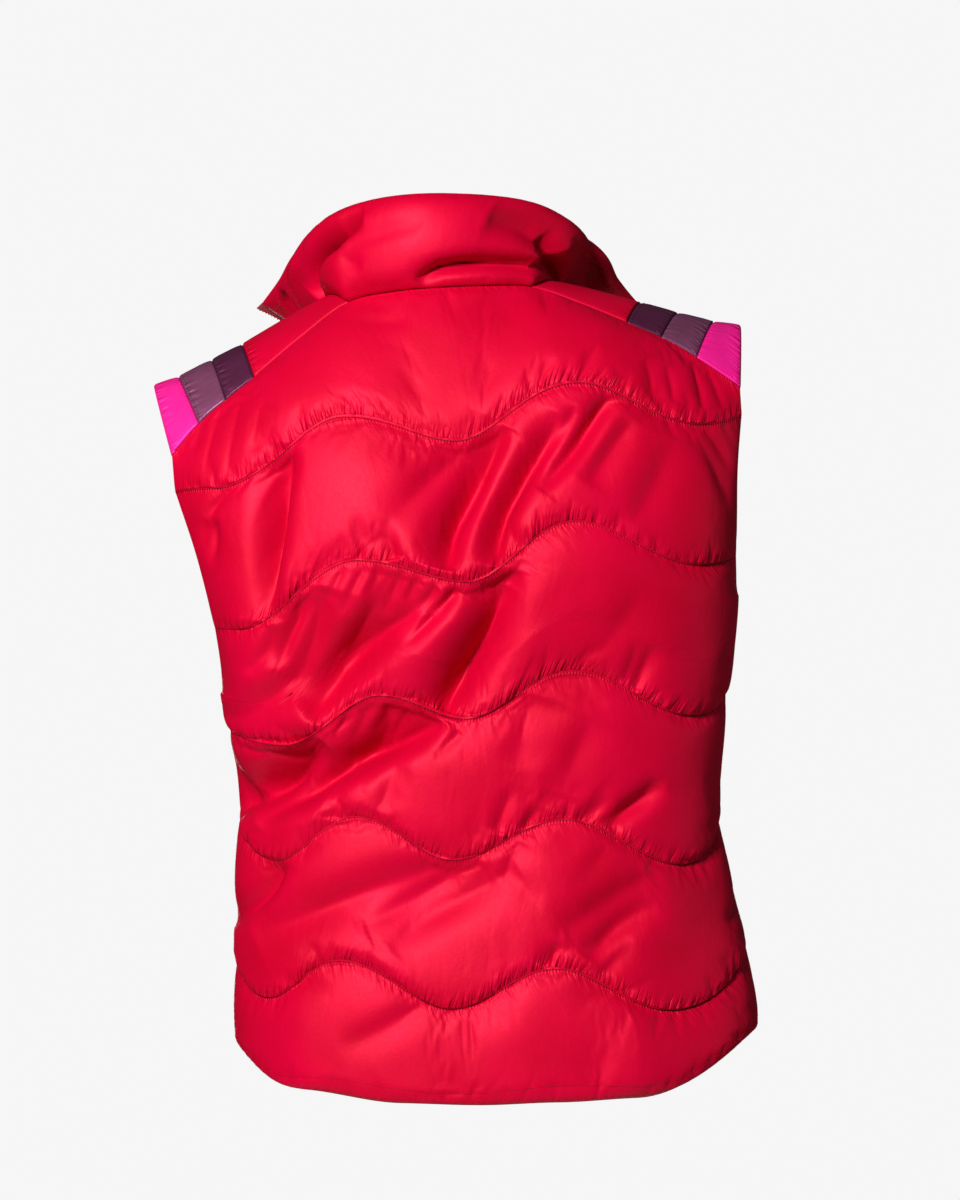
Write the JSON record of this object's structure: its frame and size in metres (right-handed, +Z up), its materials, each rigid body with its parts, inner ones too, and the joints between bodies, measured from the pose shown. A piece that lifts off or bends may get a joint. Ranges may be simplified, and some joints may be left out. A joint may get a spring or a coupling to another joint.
{
  "type": "quilted padded vest",
  "caption": "Sleeveless quilted padded vest in worn shape, front open, with wavy channels, turned-up collar, striped shoulder bands and a front zip.",
  "frame": {"origin": "between the shoulders, level with the shoulder seams beside the neck, where the wearer's shoulders hold the vest up", "axes": "+Z up, the back faces +Y, the wearer's left is +X"},
  "size_m": [0.4992, 0.2956, 0.7203],
  "materials": {
    "red_cloth": "satin woven polyester, padded",
    "plum_cloth": "satin woven polyester, padded",
    "mauve_cloth": "satin woven polyester, padded",
    "magenta_cloth": "satin woven polyester, padded",
    "zip_tape": "woven tape",
    "zip_metal": "satin"
  },
  "bodies": {
    "garment": {"back_panel": "red_cloth", "front_left": "red_cloth", "front_right": "red_cloth", "collar": "red_cloth", "shoulder_left_magenta": "magenta_cloth", "shoulder_left_mauve": "mauve_cloth", "shoulder_left_plum": "plum_cloth", "shoulder_left_red": "red_cloth", "shoulder_right_magenta": "magenta_cloth", "shoulder_right_mauve": "mauve_cloth", "shoulder_right_plum": "plum_cloth", "shoulder_right_red": "red_cloth", "zip_tape_left": "zip_tape", "zip_tape_right": "zip_tape", "zip_slider": "zip_metal", "zip_box": "zip_metal", "zip_pin": "zip_metal"},
    "pull_tab": {"zip_pull_tab": "zip_metal"}
  },
  "joints": [
    {"name": "pull_tab_swing", "type": "hinge", "parent": "garment", "child": "pull_tab", "pos_m": [0.0335, -0.13614, -0.59247], "axis": [-0.9871, -0.1513, 0.0519], "range_deg": [0, 150]}
  ]
}
